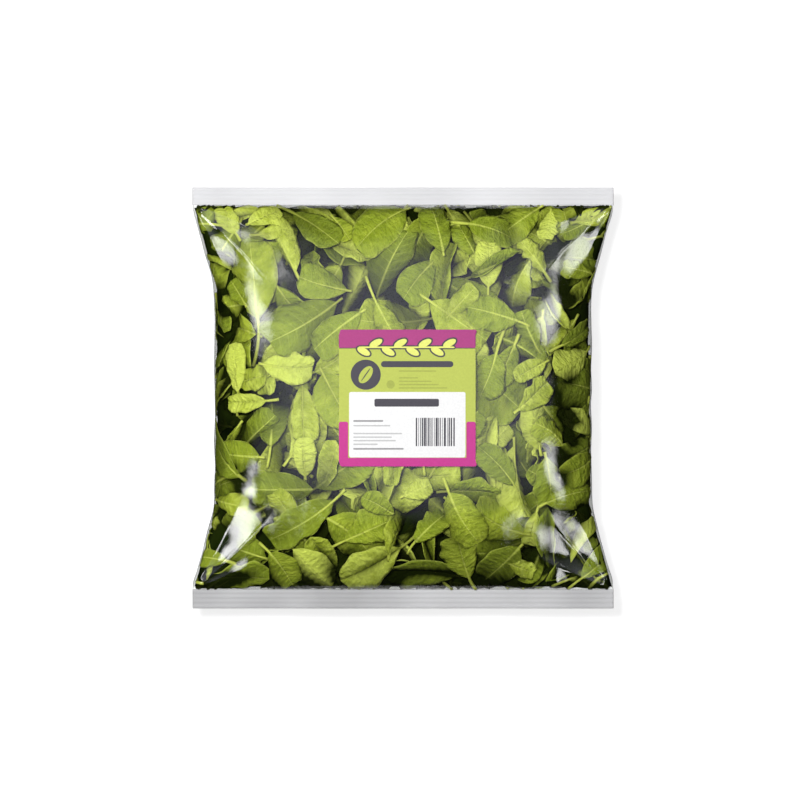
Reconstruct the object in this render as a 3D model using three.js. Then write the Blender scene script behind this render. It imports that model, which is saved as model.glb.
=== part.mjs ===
// A clear pillow bag packed with spinach leaves, lying on its back with its front up, and the
// square label stuck on its front. Millimetres, +Z up, +Y towards the top of the bag.
// The origin is under the middle of the bag, on the surface that it lies on.
import * as THREE from 'three';

// Driving dimensions of the bag
const BAG_WIDTH = 270; // across each welded seal, which is also half of the film tube's girth
const BAG_LENGTH = 270; // over both seals
const TOP_SEAL = 11;
const BOTTOM_SEAL = 12;
const WAIST_WIDTH = 241; // between the sides, where the bag is full
const FLARE_LENGTH = 52; // how far from a seal the sides have run in to the waist
const FLARE_ROUNDING = 7;
const THICKNESS = 68;
const SEAL_LEVEL = 27; // height of both seals above the surface
const BASE_SINK = 6; // how far the round underside would reach below the surface
const BASE_ROUNDING = 3;
const SEAL_THICKNESS = 1; // the welded layers, made thick enough to be a solid
const SEAL_RIBS = 4;
const RIB_HEIGHT = 0.25;

// Form of the pillow: exponents of its outlines, seen from the side and from the end
const SWELL_SPREAD = 2.4;
const SWELL_RISE = 0.64;
const CROWN_POWER = 2.25;
const BELLY_POWER = 2.6;
const LENS_POWER = 1.45; // beside a seal the two films still meet in a sharp edge
const LENS_REACH = 75; // how far from a seal the sides have become round
const SEAL_POWER = 10; // a welded strip is nearly rectangular in section

// Driving dimensions of the label
const LABEL_SIZE = 87;
const LABEL_CORNER = 2.5;
const LABEL_OFFSET = 3; // to the right of the middle
const LABEL_THICKNESS = 0.5;
const CLEARANCE = 0.3; // between the label's back and the film

// Creases in the film
const CORNER_FOLDS = [
  { angle: 20, height: 1.3, length: 62 },
  { angle: 43, height: 1.8, length: 80 },
  { angle: 66, height: 1.3, length: 56 },
];
const FOLD_START = 9; // a corner fold rises from nothing over this length
const FOLD_WIDTH = 3.2;
const FOLD_SPREAD = 0.09; // how much wider a fold gets for each millimetre away from its corner
const FOLD_TURN = 8; // degrees between the most that two folds of one angle stray
const FOLD_LENGTHS = [0.8, 1.2]; // shortest and longest, as shares of the length above
const PLEATS_PER_SEAL = 13;
const PLEAT_START = 5; // a pleat rises from nothing over this length
const PLEAT_HEIGHT = 1.7;
const PLEAT_HEIGHTS = [0.4, 1.4];
const PLEAT_WIDTH = 5.5;
const PLEAT_WIDTHS = [0.7, 1.3];
const PLEAT_PLACES = [0.2, 0.8]; // where in its own stretch of the seal a pleat may lie
const PLEAT_LENGTH = 16;

// The welded strips aren't quite flat: two ripples, one over the other
const SEAL_WAVE = 1.2;
const SEAL_WAVE_REACH = 26; // how far into the body the ripples run
const SLOW_RIPPLE = 23; // millimetres to a radian
const QUICK_RIPPLE = 11.3;
const QUICK_SHARE = 0.6; // of the slow ripple's height
const TOP_PHASE = 0.6;
const BOTTOM_PHASE = 2.9;

// Numbers from which uneven() draws, so that no two features share one
const FOLD_LENGTH_DRAW = 50;
const PLEAT_DRAW = 100;
const PLEAT_HEIGHT_DRAW = 170;
const PLEAT_WIDTH_DRAW = 240;

// Fineness of the mesh
const GIRTH_STEPS = 80;
const END_STEPS = 9; // along the body beside each seal, where it swells fast
const END_ZONE = 34;
const END_CROWDING = 1.6; // more than 1 sets the places closer together towards the seal
const MIDDLE_STEPS = 14;
const RIB_STEPS = 2; // for each rib of a seal
const LABEL_STEPS = 14;
const LABEL_ARC_STEPS = 3;
const NORMAL_STEP = 0.5; // millimetres each way over which the film's direction is taken
const GIRTH_SAMPLES = 400; // a multiple of 4, for lengths round a section

const BODY_TOP = BAG_LENGTH / 2 - TOP_SEAL;
const BODY_BOTTOM = -BAG_LENGTH / 2 + BOTTOM_SEAL;
const BODY_MIDDLE = (BODY_TOP + BODY_BOTTOM) / 2;
const BODY_REACH = (BODY_TOP - BODY_BOTTOM) / 2;

const { clamp, degToRad, lerp, smoothstep } = THREE.MathUtils;

// The same unevenness each time, from 0 to 1, for feature number n: what follows the point in a
// large and fast-changing number.
function uneven(n) {
  const wild = Math.sin(n * 12.9898 + 4.137) * 43758.5453;
  return wild - Math.floor(wild);
}

// An uneven value between the two ends of a range.
function unevenIn([low, high], n) {
  return lerp(low, high, uneven(n));
}

// Distance into the body from the nearer seal. It is negative on the seals themselves.
function depthFromSeal(y) {
  return BODY_REACH - Math.abs(y - BODY_MIDDLE);
}

// Half of the bag's width at y: full at the seals, then straight in to the waist.
function halfWidth(y) {
  const out = 1 - Math.max(depthFromSeal(y), 0) / FLARE_LENGTH;
  const rounding = FLARE_ROUNDING / FLARE_LENGTH;
  const flare = (out + Math.sqrt(out * out + rounding * rounding)) / 2;
  const full = (1 + Math.sqrt(1 + rounding * rounding)) / 2;
  return lerp(WAIST_WIDTH, BAG_WIDTH, flare / full) / 2;
}

// How far the bag has swelled at y, from 0 at a seal to 1 in the middle.
function swell(y) {
  const along = clamp(Math.abs(y - BODY_MIDDLE) / BODY_REACH, 0, 1);
  return Math.pow(1 - Math.pow(along, SWELL_SPREAD), SWELL_RISE);
}

// The welded strip's half thickness at y, with its crimped ribs.
function halfSeal(y) {
  const beyond = -depthFromSeal(y);
  if (beyond <= 0) return SEAL_THICKNESS / 2;
  const seal = y > BODY_MIDDLE ? TOP_SEAL : BOTTOM_SEAL;
  const rib = Math.sin((beyond / seal) * SEAL_RIBS * Math.PI) ** 2;
  return SEAL_THICKNESS / 2 + RIB_HEIGHT * rib;
}

// The bag's cross-section at y, as a closed curve: from the right side over the front to the
// left side, and back under the bag.
class Section extends THREE.Curve {
  constructor(y) {
    super();
    this.y = y;
    this.half = halfWidth(y);
    this.crown = Math.max((THICKNESS - SEAL_LEVEL) * swell(y), halfSeal(y));
    this.belly = Math.max((SEAL_LEVEL + BASE_SINK) * swell(y), halfSeal(y));
    const depth = depthFromSeal(y);
    const round = smoothstep(depth, 0, LENS_REACH);
    this.crownPower = depth > 0 ? lerp(LENS_POWER, CROWN_POWER, round) : SEAL_POWER;
    this.bellyPower = depth > 0 ? lerp(LENS_POWER, BELLY_POWER, round) : SEAL_POWER;
  }

  getPoint(t, target = new THREE.Vector3()) {
    const cos = Math.cos(t * 2 * Math.PI);
    const sin = Math.sin(t * 2 * Math.PI);
    const power = 2 / (sin >= 0 ? this.crownPower : this.bellyPower);
    const height = sin >= 0 ? this.crown : this.belly;
    const x = this.half * Math.sign(cos) * Math.abs(cos) ** power;
    const z = height * Math.sign(sin) * Math.abs(sin) ** power;
    return target.set(x, this.y, SEAL_LEVEL + z);
  }
}

const sections = new Map();
function sectionAt(y) {
  if (!sections.has(y)) sections.set(y, new Section(y));
  return sections.get(y);
}

// A point of the smooth pillow: t runs round the girth from 0 to 1, evenly along the film.
function pillow(t, y) {
  return sectionAt(y).getPointAt(t - Math.floor(t));
}

// Which way the smooth pillow faces at a point. A seal faces as the body does beside it.
function outward(t, y) {
  const step = NORMAL_STEP / BAG_WIDTH;
  const inside = clamp(y, BODY_BOTTOM + 2 * NORMAL_STEP, BODY_TOP - 2 * NORMAL_STEP);
  const round = pillow(t + step, inside).sub(pillow(t - step, inside));
  const along = pillow(t, inside + NORMAL_STEP).sub(pillow(t, inside - NORMAL_STEP));
  return along.cross(round).normalize();
}

// Creases that fan out of the body's corners. across is the distance from the nearer side
// along the film, and depth the distance from the nearer seal.
function cornerRelief(across, depth, corner) {
  let relief = 0;
  CORNER_FOLDS.forEach(({ angle, height, length }, n) => {
    const number = corner * CORNER_FOLDS.length + n;
    const turn = degToRad(angle + FOLD_TURN * (uneven(number) - 0.5));
    const run = across * Math.sin(turn) + depth * Math.cos(turn);
    const aside = across * Math.cos(turn) - depth * Math.sin(turn);
    const width = FOLD_WIDTH + FOLD_SPREAD * Math.max(run, 0);
    const reach = length * unevenIn(FOLD_LENGTHS, number + FOLD_LENGTH_DRAW);
    const fade = smoothstep(run, 0, FOLD_START) * (1 - smoothstep(run, reach / 2, reach));
    relief += height * fade * Math.exp(-Math.abs(aside) / width);
  });
  return relief;
}

// Short pleats that run into the body from a seal. along is the distance from one end of it.
function pleatRelief(along, depth, seal) {
  const rise = smoothstep(depth, 0, PLEAT_START) * Math.exp(-depth / PLEAT_LENGTH);
  const spacing = BAG_WIDTH / PLEATS_PER_SEAL;
  let relief = 0;
  for (let n = 0; n < PLEATS_PER_SEAL; n += 1) {
    const number = seal * PLEATS_PER_SEAL + n;
    const place = (n + unevenIn(PLEAT_PLACES, number + PLEAT_DRAW)) * spacing;
    const height = PLEAT_HEIGHT * unevenIn(PLEAT_HEIGHTS, number + PLEAT_HEIGHT_DRAW);
    const width = PLEAT_WIDTH * unevenIn(PLEAT_WIDTHS, number + PLEAT_WIDTH_DRAW);
    relief += height * rise * Math.exp(-(((along - place) / width) ** 2));
  }
  return relief;
}

// How far the film stands out of the smooth pillow.
function relief(t, y) {
  const depth = depthFromSeal(y);
  if (depth <= 0) return 0;
  const front = t <= 0.5;
  const along = (front ? t : t - 0.5) * 2 * BAG_WIDTH; // from one side of this face to the other
  const across = Math.min(along, BAG_WIDTH - along);
  const nearFirstSide = along < BAG_WIDTH / 2;
  const upper = y > BODY_MIDDLE;
  const face = (front ? 0 : 1) + (upper ? 0 : 2);
  const corner = face * 2 + (nearFirstSide ? 0 : 1);
  return cornerRelief(across, depth, corner) + pleatRelief(along, depth, face);
}

// The seals' own slow waves, which die away into the body.
function sealWave(x, y) {
  const depth = Math.max(depthFromSeal(y), 0);
  const phase = y > BODY_MIDDLE ? TOP_PHASE : BOTTOM_PHASE;
  const slow = Math.sin(x / SLOW_RIPPLE + phase);
  const quick = QUICK_SHARE * Math.sin(x / QUICK_RIPPLE + 2 * phase);
  return SEAL_WAVE * (slow + quick) * (1 - smoothstep(depth, 0, SEAL_WAVE_REACH));
}

// The underside is pressed flat where the bag lies.
function pressFlat(z) {
  if (z <= -BASE_ROUNDING) return 0;
  if (z >= BASE_ROUNDING) return z;
  return (z + BASE_ROUNDING) ** 2 / (4 * BASE_ROUNDING);
}

// A point of the film, lifted off it by some distance.
function film(t, y, lift = 0) {
  const normal = outward(t, y);
  const point = pillow(t, y).addScaledVector(normal, relief(t, y));
  point.z = pressFlat(point.z + sealWave(point.x, y));
  return point.addScaledVector(normal, lift);
}

// Places along the bag where the film is drawn, from the bottom edge to the top edge.
function stations() {
  const places = [];
  const ribSteps = SEAL_RIBS * RIB_STEPS;
  for (let n = 0; n < ribSteps; n += 1) {
    places.push(-BAG_LENGTH / 2 + (BOTTOM_SEAL * n) / ribSteps);
  }
  for (let n = 0; n < END_STEPS; n += 1) {
    places.push(BODY_BOTTOM + END_ZONE * (n / END_STEPS) ** END_CROWDING);
  }
  const middle = BODY_TOP - BODY_BOTTOM - 2 * END_ZONE;
  for (let n = 0; n <= MIDDLE_STEPS; n += 1) {
    places.push(BODY_BOTTOM + END_ZONE + (middle * n) / MIDDLE_STEPS);
  }
  for (let n = END_STEPS - 1; n >= 0; n -= 1) {
    places.push(BODY_TOP - END_ZONE * (n / END_STEPS) ** END_CROWDING);
  }
  for (let n = 1; n <= ribSteps; n += 1) {
    places.push(BODY_TOP + (TOP_SEAL * n) / ribSteps);
  }
  return places;
}

function geometryFrom(points, faces) {
  const geometry = new THREE.BufferGeometry().setFromPoints(points);
  geometry.setIndex(faces);
  geometry.computeVertexNormals();
  return geometry;
}

// The whole bag: rings of points round its girth, joined from seal to seal, and closed at both
// ends by strips between its front and its back.
function bagGeometry() {
  const places = stations();
  const points = [];
  places.forEach((y) => {
    for (let n = 0; n < GIRTH_STEPS; n += 1) points.push(film(n / GIRTH_STEPS, y));
  });
  const faces = [];
  for (let row = 0; row + 1 < places.length; row += 1) {
    for (let n = 0; n < GIRTH_STEPS; n += 1) {
      const next = (n + 1) % GIRTH_STEPS;
      const [a, b] = [row * GIRTH_STEPS + n, row * GIRTH_STEPS + next];
      const [c, d] = [a + GIRTH_STEPS, b + GIRTH_STEPS];
      faces.push(a, c, b, b, c, d);
    }
  }
  const last = (places.length - 1) * GIRTH_STEPS;
  for (let n = 0; n < GIRTH_STEPS / 2; n += 1) {
    const [a, b] = [n, n + 1];
    const [c, d] = [(GIRTH_STEPS - n) % GIRTH_STEPS, GIRTH_STEPS - n - 1];
    if (a !== c) faces.push(a, b, c);
    if (b !== d) faces.push(b, d, c);
    if (a !== c) faces.push(last + a, last + c, last + b);
    if (b !== d) faces.push(last + b, last + c, last + d);
  }
  return geometryFrom(points, faces);
}

// Rows of the label from its lower edge to its upper edge, with each row's half width.
function labelRows() {
  const straight = LABEL_SIZE / 2 - LABEL_CORNER;
  const arc = [];
  for (let n = 0; n <= LABEL_ARC_STEPS; n += 1) {
    const turn = (n / LABEL_ARC_STEPS) * (Math.PI / 2);
    const y = straight + LABEL_CORNER * Math.cos(turn);
    arc.push({ y, half: straight + LABEL_CORNER * Math.sin(turn) });
  }
  const rows = arc.map(({ y, half }) => ({ y: -y, half }));
  for (let n = 1; n < LABEL_STEPS; n += 1) {
    rows.push({ y: lerp(-straight, straight, n / LABEL_STEPS), half: LABEL_SIZE / 2 });
  }
  return rows.concat(arc.reverse());
}

// The label is a thin plate that follows the film, rounded at its corners.
function labelGeometry() {
  const rows = labelRows();
  const layer = rows.length * (LABEL_STEPS + 1);
  const points = [];
  [CLEARANCE, CLEARANCE + LABEL_THICKNESS].forEach((lift) => {
    rows.forEach(({ y, half }) => {
      const girth = sectionAt(y).getLength();
      for (let n = 0; n <= LABEL_STEPS; n += 1) {
        const x = LABEL_OFFSET + lerp(-half, half, n / LABEL_STEPS);
        points.push(film(sideToFront(y) - x / girth, y, lift));
      }
    });
  });
  const faces = [];
  const width = LABEL_STEPS + 1;
  const quad = (a, b, c, d) => faces.push(a, b, c, b, d, c);
  for (let row = 0; row + 1 < rows.length; row += 1) {
    for (let n = 0; n < LABEL_STEPS; n += 1) {
      const a = row * width + n;
      quad(a + 1, a, a + 1 + width, a + width);
      quad(a + layer, a + 1 + layer, a + width + layer, a + 1 + width + layer);
    }
    const [left, right] = [row * width, row * width + LABEL_STEPS];
    quad(left, left + layer, left + width, left + width + layer);
    quad(right + layer, right, right + width + layer, right + width);
  }
  const top = (rows.length - 1) * width;
  for (let n = 0; n < LABEL_STEPS; n += 1) {
    quad(n, n + 1, n + layer, n + 1 + layer);
    quad(top + n + 1, top + n, top + n + 1 + layer, top + n + layer);
  }
  return geometryFrom(points, faces);
}

// The share of the girth from the right side to the middle of the front.
function sideToFront(y) {
  const lengths = sectionAt(y).getLengths(GIRTH_SAMPLES);
  return lengths[GIRTH_SAMPLES / 4] / lengths[GIRTH_SAMPLES];
}

function piece(name, geometry, material) {
  const mesh = new THREE.Mesh(geometry, new THREE.MeshStandardMaterial(material));
  mesh.name = name;
  return mesh;
}

const part = new THREE.Group();
part.add(piece('pouch', bagGeometry(), { color: 0x8a9a44, roughness: 0.25, metalness: 0 }));
part.add(piece('label', labelGeometry(), { color: 0xc8d36c, roughness: 0.45, metalness: 0 }));

export default part;
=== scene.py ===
"""A clear pillow bag packed with spinach leaves, lying on its back, and the label on its front.

Lengths are millimetres in the making of shapes, and metres once they are Blender meshes. The
film is a tube welded shut at both ends: t runs round its girth from 0 to 1, from the right side
over the front, and y runs along the bag towards its top.
"""

import math

import bpy
import numpy as np
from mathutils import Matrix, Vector


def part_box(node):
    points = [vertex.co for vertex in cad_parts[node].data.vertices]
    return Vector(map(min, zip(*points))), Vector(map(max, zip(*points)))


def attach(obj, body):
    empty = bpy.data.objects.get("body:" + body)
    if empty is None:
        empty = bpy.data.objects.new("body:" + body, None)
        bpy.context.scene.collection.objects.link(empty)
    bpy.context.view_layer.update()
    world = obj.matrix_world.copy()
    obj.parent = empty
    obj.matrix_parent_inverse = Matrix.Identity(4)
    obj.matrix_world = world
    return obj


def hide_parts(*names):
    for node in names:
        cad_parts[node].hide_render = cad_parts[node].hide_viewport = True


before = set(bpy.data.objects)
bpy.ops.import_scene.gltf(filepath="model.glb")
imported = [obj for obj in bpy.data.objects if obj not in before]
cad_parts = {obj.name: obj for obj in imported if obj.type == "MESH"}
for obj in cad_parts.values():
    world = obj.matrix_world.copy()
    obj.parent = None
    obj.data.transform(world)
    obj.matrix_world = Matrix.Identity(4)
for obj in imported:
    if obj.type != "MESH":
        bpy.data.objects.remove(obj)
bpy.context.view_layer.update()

MM = 0.001

# The bag's form, as in the solid that it is fitted to
pouch_low, pouch_high = (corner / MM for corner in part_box("pouch"))
BAG_LENGTH = pouch_high.y - pouch_low.y
BAG_WIDTH = 270.0
GIRTH = 2 * BAG_WIDTH  # of the film
THICKNESS = pouch_high.z - pouch_low.z
TOP_SEAL = 11.0
BOTTOM_SEAL = 12.0
WAIST_WIDTH = 241.0
FLARE_LENGTH = 52.0
FLARE_ROUNDING = 7.0
SEAL_LEVEL = 27.0
BASE_SINK = 6.0
BASE_ROUNDING = 3.0
SEAL_THICKNESS = 0.8
SEAL_RIBS = 4
RIB_HEIGHT = 0.3
SWELL_SPREAD = 2.4
SWELL_RISE = 0.64
CROWN_POWER = 2.25
BELLY_POWER = 2.6
LENS_POWER = 1.45
LENS_REACH = 75.0
SEAL_POWER = 10.0

BODY_TOP = BAG_LENGTH / 2 - TOP_SEAL
BODY_BOTTOM = BOTTOM_SEAL - BAG_LENGTH / 2
BODY_MIDDLE = (BODY_TOP + BODY_BOTTOM) / 2
BODY_REACH = (BODY_TOP - BODY_BOTTOM) / 2

# Creases in the film: angle in degrees from the side, height and length in millimetres. A pair
# is the least and the most of what varies, and a draw is the first number that it is drawn for.
CORNER_FOLDS = ((20, 1.3, 62), (43, 1.8, 80), (66, 1.3, 56))
FOLD_TURN = 8  # degrees over which their angles vary
FOLD_LENGTHS = (0.8, 1.2)
FOLD_LENGTH_DRAW = 50
FOLD_START = 9.0
FOLD_WIDTH = 3.2
FOLD_SPREAD = 0.09
PLEATS_PER_SEAL = 13
PLEAT_HEIGHT = 1.7
PLEAT_WIDTH = 5.5
PLEAT_LENGTH = 16.0
PLEAT_START = 5.0
PLEAT_PLACES, PLEAT_DRAW = (0.2, 0.8), 100
PLEAT_HEIGHTS, PLEAT_HEIGHT_DRAW = (0.4, 1.4), 170
PLEAT_WIDTHS, PLEAT_WIDTH_DRAW = (0.7, 1.3), 240
SEAL_WAVE = 1.2
SEAL_WAVE_REACH = 26.0
SLOW_RIPPLE, QUICK_RIPPLE = 23.0, 11.3  # mm to a radian
QUICK_SHARE = 0.6
TOP_PHASE, BOTTOM_PHASE = 0.6, 2.9

# The label, whose print is laid out in millimetres from its middle
LABEL_SIZE = 87.0
LABEL_CORNER = 2.5
LABEL_OFFSET = 3.0
LABEL_LIFT = 0.3
LABEL_THICKNESS = 0.25
INK_STEP = 0.03
PAPER_SHADE = 0.74  # of the inks' brightness in full light


def smoothstep(x, low, high):
    share = np.clip((x - low) / (high - low), 0, 1)
    return share * share * (3 - 2 * share)


def lerp(a, b, share):
    return a + (b - a) * share


def uneven(n):
    """A share from 0 to 1 that looks random, and is the same each time for number n."""
    wild = np.sin(n * 12.9898 + 4.137) * 43758.5453
    return wild - np.floor(wild)


def uneven_in(limits, n):
    return lerp(*limits, uneven(n))


def turned(a, b, angle):
    """Two coordinates, turned about the axis across them."""
    cos, sin = np.cos(angle), np.sin(angle)
    return a * cos - b * sin, a * sin + b * cos


def depth_from_seal(y):
    """Distance into the body from the nearer seal, negative on the seals."""
    return BODY_REACH - np.abs(y - BODY_MIDDLE)


def half_width(y):
    out = 1 - np.maximum(depth_from_seal(y), 0) / FLARE_LENGTH
    rounding = FLARE_ROUNDING / FLARE_LENGTH
    flare = (out + np.sqrt(out * out + rounding**2)) / 2
    full = (1 + math.sqrt(1 + rounding**2)) / 2
    return lerp(WAIST_WIDTH, BAG_WIDTH, flare / full) / 2


def swell(y):
    along = np.clip(np.abs(y - BODY_MIDDLE) / BODY_REACH, 0, 1)
    return (1 - along**SWELL_SPREAD) ** SWELL_RISE


def half_seal(y):
    """Half thickness of the welded strip at y, with its crimped ribs."""
    beyond = np.maximum(-depth_from_seal(y), 0)
    seal = np.where(y > BODY_MIDDLE, TOP_SEAL, BOTTOM_SEAL)
    return SEAL_THICKNESS / 2 + RIB_HEIGHT * np.sin(beyond / seal * SEAL_RIBS * math.pi) ** 2


def crown_and_belly(y):
    """How far the film rises above the seals' level at y, and how far it hangs below it."""
    return (
        np.maximum((THICKNESS - SEAL_LEVEL) * swell(y), half_seal(y)),
        np.maximum((SEAL_LEVEL + BASE_SINK) * swell(y), half_seal(y)),
    )


class Pillow:
    """The smooth bag, kept as a table of points evenly spaced round the girth."""

    GIRTH_STEPS = 720
    SECTION_STEPS = 1440
    ROWS = 541

    def __init__(self):
        self.y = np.linspace(-BAG_LENGTH / 2, BAG_LENGTH / 2, self.ROWS)
        sections = [self.section(y) for y in self.y]
        self.girth = np.array([girth for _, girth in sections])
        self.points = np.array([points for points, _ in sections])
        self.normals = self.outward()
        front = self.points[:, self.GIRTH_STEPS // 4]
        steps = np.linalg.norm(np.diff(front, axis=0), axis=1)
        straight = np.diff(self.y)
        self.along = np.concatenate([[0], np.cumsum((steps + straight) / 2)])

    def section(self, y):
        turn = np.linspace(0, 2 * math.pi, self.SECTION_STEPS + 1)
        cos, sin = np.cos(turn), np.sin(turn)
        crown, belly = crown_and_belly(y)
        depth = depth_from_seal(y)
        round_share = smoothstep(depth, 0, LENS_REACH)
        crown_power = lerp(LENS_POWER, CROWN_POWER, round_share) if depth > 0 else SEAL_POWER
        belly_power = lerp(LENS_POWER, BELLY_POWER, round_share) if depth > 0 else SEAL_POWER
        power = 2 / np.where(sin >= 0, crown_power, belly_power)
        height = np.where(sin >= 0, crown, belly)
        x = half_width(y) * np.sign(cos) * np.abs(cos) ** power
        z = SEAL_LEVEL + height * np.sign(sin) * np.abs(sin) ** power
        run = np.concatenate([[0], np.cumsum(np.hypot(np.diff(x), np.diff(z)))])
        even = np.linspace(0, run[-1], self.GIRTH_STEPS, endpoint=False)
        x, z = np.interp(even, run, x), np.interp(even, run, z)
        return np.stack([x, np.full_like(x, y), z], axis=1), run[-1]

    def outward(self):
        inside = np.clip(self.y, BODY_BOTTOM + 1, BODY_TOP - 1)
        rows = np.searchsorted(self.y, inside)
        points = self.points[rows]
        spread = 2
        ring = np.roll(points, -spread, axis=1) - np.roll(points, spread, axis=1)
        along = self.points[np.minimum(rows + 1, self.ROWS - 1)] - self.points[rows - 1]
        normals = np.cross(along, ring)
        return normals / np.linalg.norm(normals, axis=2, keepdims=True)

    def read(self, table, t, y):
        """Values of a table at (t, y), worked out between its entries."""
        column = (np.asarray(t) % 1) * self.GIRTH_STEPS
        row = (np.asarray(y) - self.y[0]) / (self.y[1] - self.y[0])
        row = np.clip(row, 0, self.ROWS - 1.001)
        left, low = column.astype(int) % self.GIRTH_STEPS, row.astype(int)
        right, high = (left + 1) % self.GIRTH_STEPS, low + 1
        across, up = (column - np.floor(column))[..., None], (row - low)[..., None]
        lower = lerp(table[low, left], table[low, right], across)
        upper = lerp(table[high, left], table[high, right], across)
        return lerp(lower, upper, up)

    def girth_at(self, y):
        return np.interp(y, self.y, self.girth)

    def front_middle(self, y):
        """The t at which the front's middle line lies at y."""
        table = np.argmin(np.abs(self.points[:, : self.GIRTH_STEPS // 2, 0]), axis=1)
        return np.interp(y, self.y, table) / self.GIRTH_STEPS


def corner_relief(across, depth, corner):
    """Creases that fan out of the body's corners."""
    relief = 0
    for n, (angle, height, length) in enumerate(CORNER_FOLDS):
        number = corner * len(CORNER_FOLDS) + n
        turn = np.radians(angle + FOLD_TURN * (uneven(number) - 0.5))
        aside, run = turned(across, depth, turn)
        width = FOLD_WIDTH + FOLD_SPREAD * np.maximum(run, 0)
        reach = length * uneven_in(FOLD_LENGTHS, number + FOLD_LENGTH_DRAW)
        fade = smoothstep(run, 0, FOLD_START) * (1 - smoothstep(run, reach / 2, reach))
        relief = relief + height * fade * np.exp(-np.abs(aside) / width)
    return relief


def pleat_relief(along, depth, seal):
    """Short pleats that run into the body from a seal."""
    rise = smoothstep(depth, 0, PLEAT_START) * np.exp(-depth / PLEAT_LENGTH)
    spacing = BAG_WIDTH / PLEATS_PER_SEAL
    relief = 0
    for n in range(PLEATS_PER_SEAL):
        number = seal * PLEATS_PER_SEAL + n
        place = (n + uneven_in(PLEAT_PLACES, number + PLEAT_DRAW)) * spacing
        height = PLEAT_HEIGHT * uneven_in(PLEAT_HEIGHTS, number + PLEAT_HEIGHT_DRAW)
        width = PLEAT_WIDTH * uneven_in(PLEAT_WIDTHS, number + PLEAT_WIDTH_DRAW)
        relief = relief + height * rise * np.exp(-(((along - place) / width) ** 2))
    return relief


def face_place(t):
    """Whether t is on the front, and how far it is along its face and from the nearer side."""
    front = t <= 0.5
    along = np.where(front, t, t - 0.5) * GIRTH
    return front, along, np.minimum(along, BAG_WIDTH - along)


def film_relief(t, y):
    """How far the film stands out of the smooth pillow."""
    depth = depth_from_seal(y)
    front, along, across = face_place(t % 1)
    face = np.where(front, 0, 1) + np.where(y > BODY_MIDDLE, 0, 2)
    corner = face * 2 + np.where(along < BAG_WIDTH / 2, 0, 1)
    relief = corner_relief(across, depth, corner) + pleat_relief(along, depth, face)
    return np.where(depth > 0, relief, 0)


def seal_wave(x, y):
    depth = np.maximum(depth_from_seal(y), 0)
    phase = np.where(y > BODY_MIDDLE, TOP_PHASE, BOTTOM_PHASE)
    wave = np.sin(x / SLOW_RIPPLE + phase) + QUICK_SHARE * np.sin(x / QUICK_RIPPLE + 2 * phase)
    return SEAL_WAVE * wave * (1 - smoothstep(depth, 0, SEAL_WAVE_REACH))


def press_flat(z):
    """The underside is pressed flat where the bag lies."""
    soft = (z + BASE_ROUNDING) ** 2 / (4 * BASE_ROUNDING)
    return np.where(z <= -BASE_ROUNDING, 0, np.where(z >= BASE_ROUNDING, z, soft))


pillow = Pillow()

SIDE_PACKING = 0.4  # share of a leaf's depth that is left at the bag's sides
SIDE_PACKING_REACH = 0.35  # 0 at the side, 1 in the middle of the front or the back
MIDDLE_SHARE = 0.9  # of the bag's half thickness, between its side and its middle line's end


def film_points(t, y, lift=0.0):
    """Points of the creased film, lifted off it by some distance."""
    t, y = np.broadcast_arrays(np.asarray(t, float), np.asarray(y, float))
    normals = pillow.read(pillow.normals, t, y)
    points = pillow.read(pillow.points, t, y) + normals * film_relief(t, y)[..., None]
    points[..., 2] = press_flat(points[..., 2] + seal_wave(points[..., 0], y))
    return points + normals * np.asarray(lift)[..., None]


def inner_points(t, y, depth):
    """Points inside the bag, at a depth under the smooth film. However great the depth is, they
    stay short of the bag's middle. At the sides all depths are less, so that leaves reach them."""
    outer = pillow.read(pillow.points, t, y)
    facing = np.abs(np.sin(2 * math.pi * np.asarray(t)))
    depth = depth * lerp(SIDE_PACKING, 1, smoothstep(facing, 0, SIDE_PACKING_REACH))
    crown, belly = crown_and_belly(y)
    core_half = np.maximum(half_width(y) - MIDDLE_SHARE * (crown + belly) / 2, 0)
    core_x = np.clip(outer[..., 0], -core_half, core_half)
    core_z = SEAL_LEVEL + (crown - belly) / 2 + np.zeros_like(core_x)
    inward = np.stack([core_x, y, core_z], axis=-1) - outer
    room = np.linalg.norm(inward, axis=-1)
    share = 1 - np.exp(-depth / np.maximum(room, 0.1))
    points = outer + inward * share[..., None]
    level = outer[..., 2] + seal_wave(outer[..., 0], y)
    pressed = (press_flat(level) - level) * (1 - share)
    points[..., 2] = points[..., 2] + seal_wave(points[..., 0], y) * (1 - share) + pressed
    return points


# Meshes and materials


def mesh_object(name, points, faces, materials, face_materials=None, smooth=True):
    mesh = bpy.data.meshes.new(name)
    mesh.from_pydata((np.asarray(points) * MM).tolist(), [], faces)
    for material in materials:
        mesh.materials.append(material)
    if face_materials is not None:
        mesh.polygons.foreach_set("material_index", np.asarray(face_materials, np.int32))
    mesh.polygons.foreach_set("use_smooth", np.full(len(mesh.polygons), smooth))
    mesh.update()
    made = bpy.data.objects.new(name, mesh)
    bpy.context.scene.collection.objects.link(made)
    return made


def add_attribute(made, name, values):
    attribute = made.data.attributes.new(name, "FLOAT", "POINT")
    attribute.data.foreach_set("value", np.asarray(values, np.float32))


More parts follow.
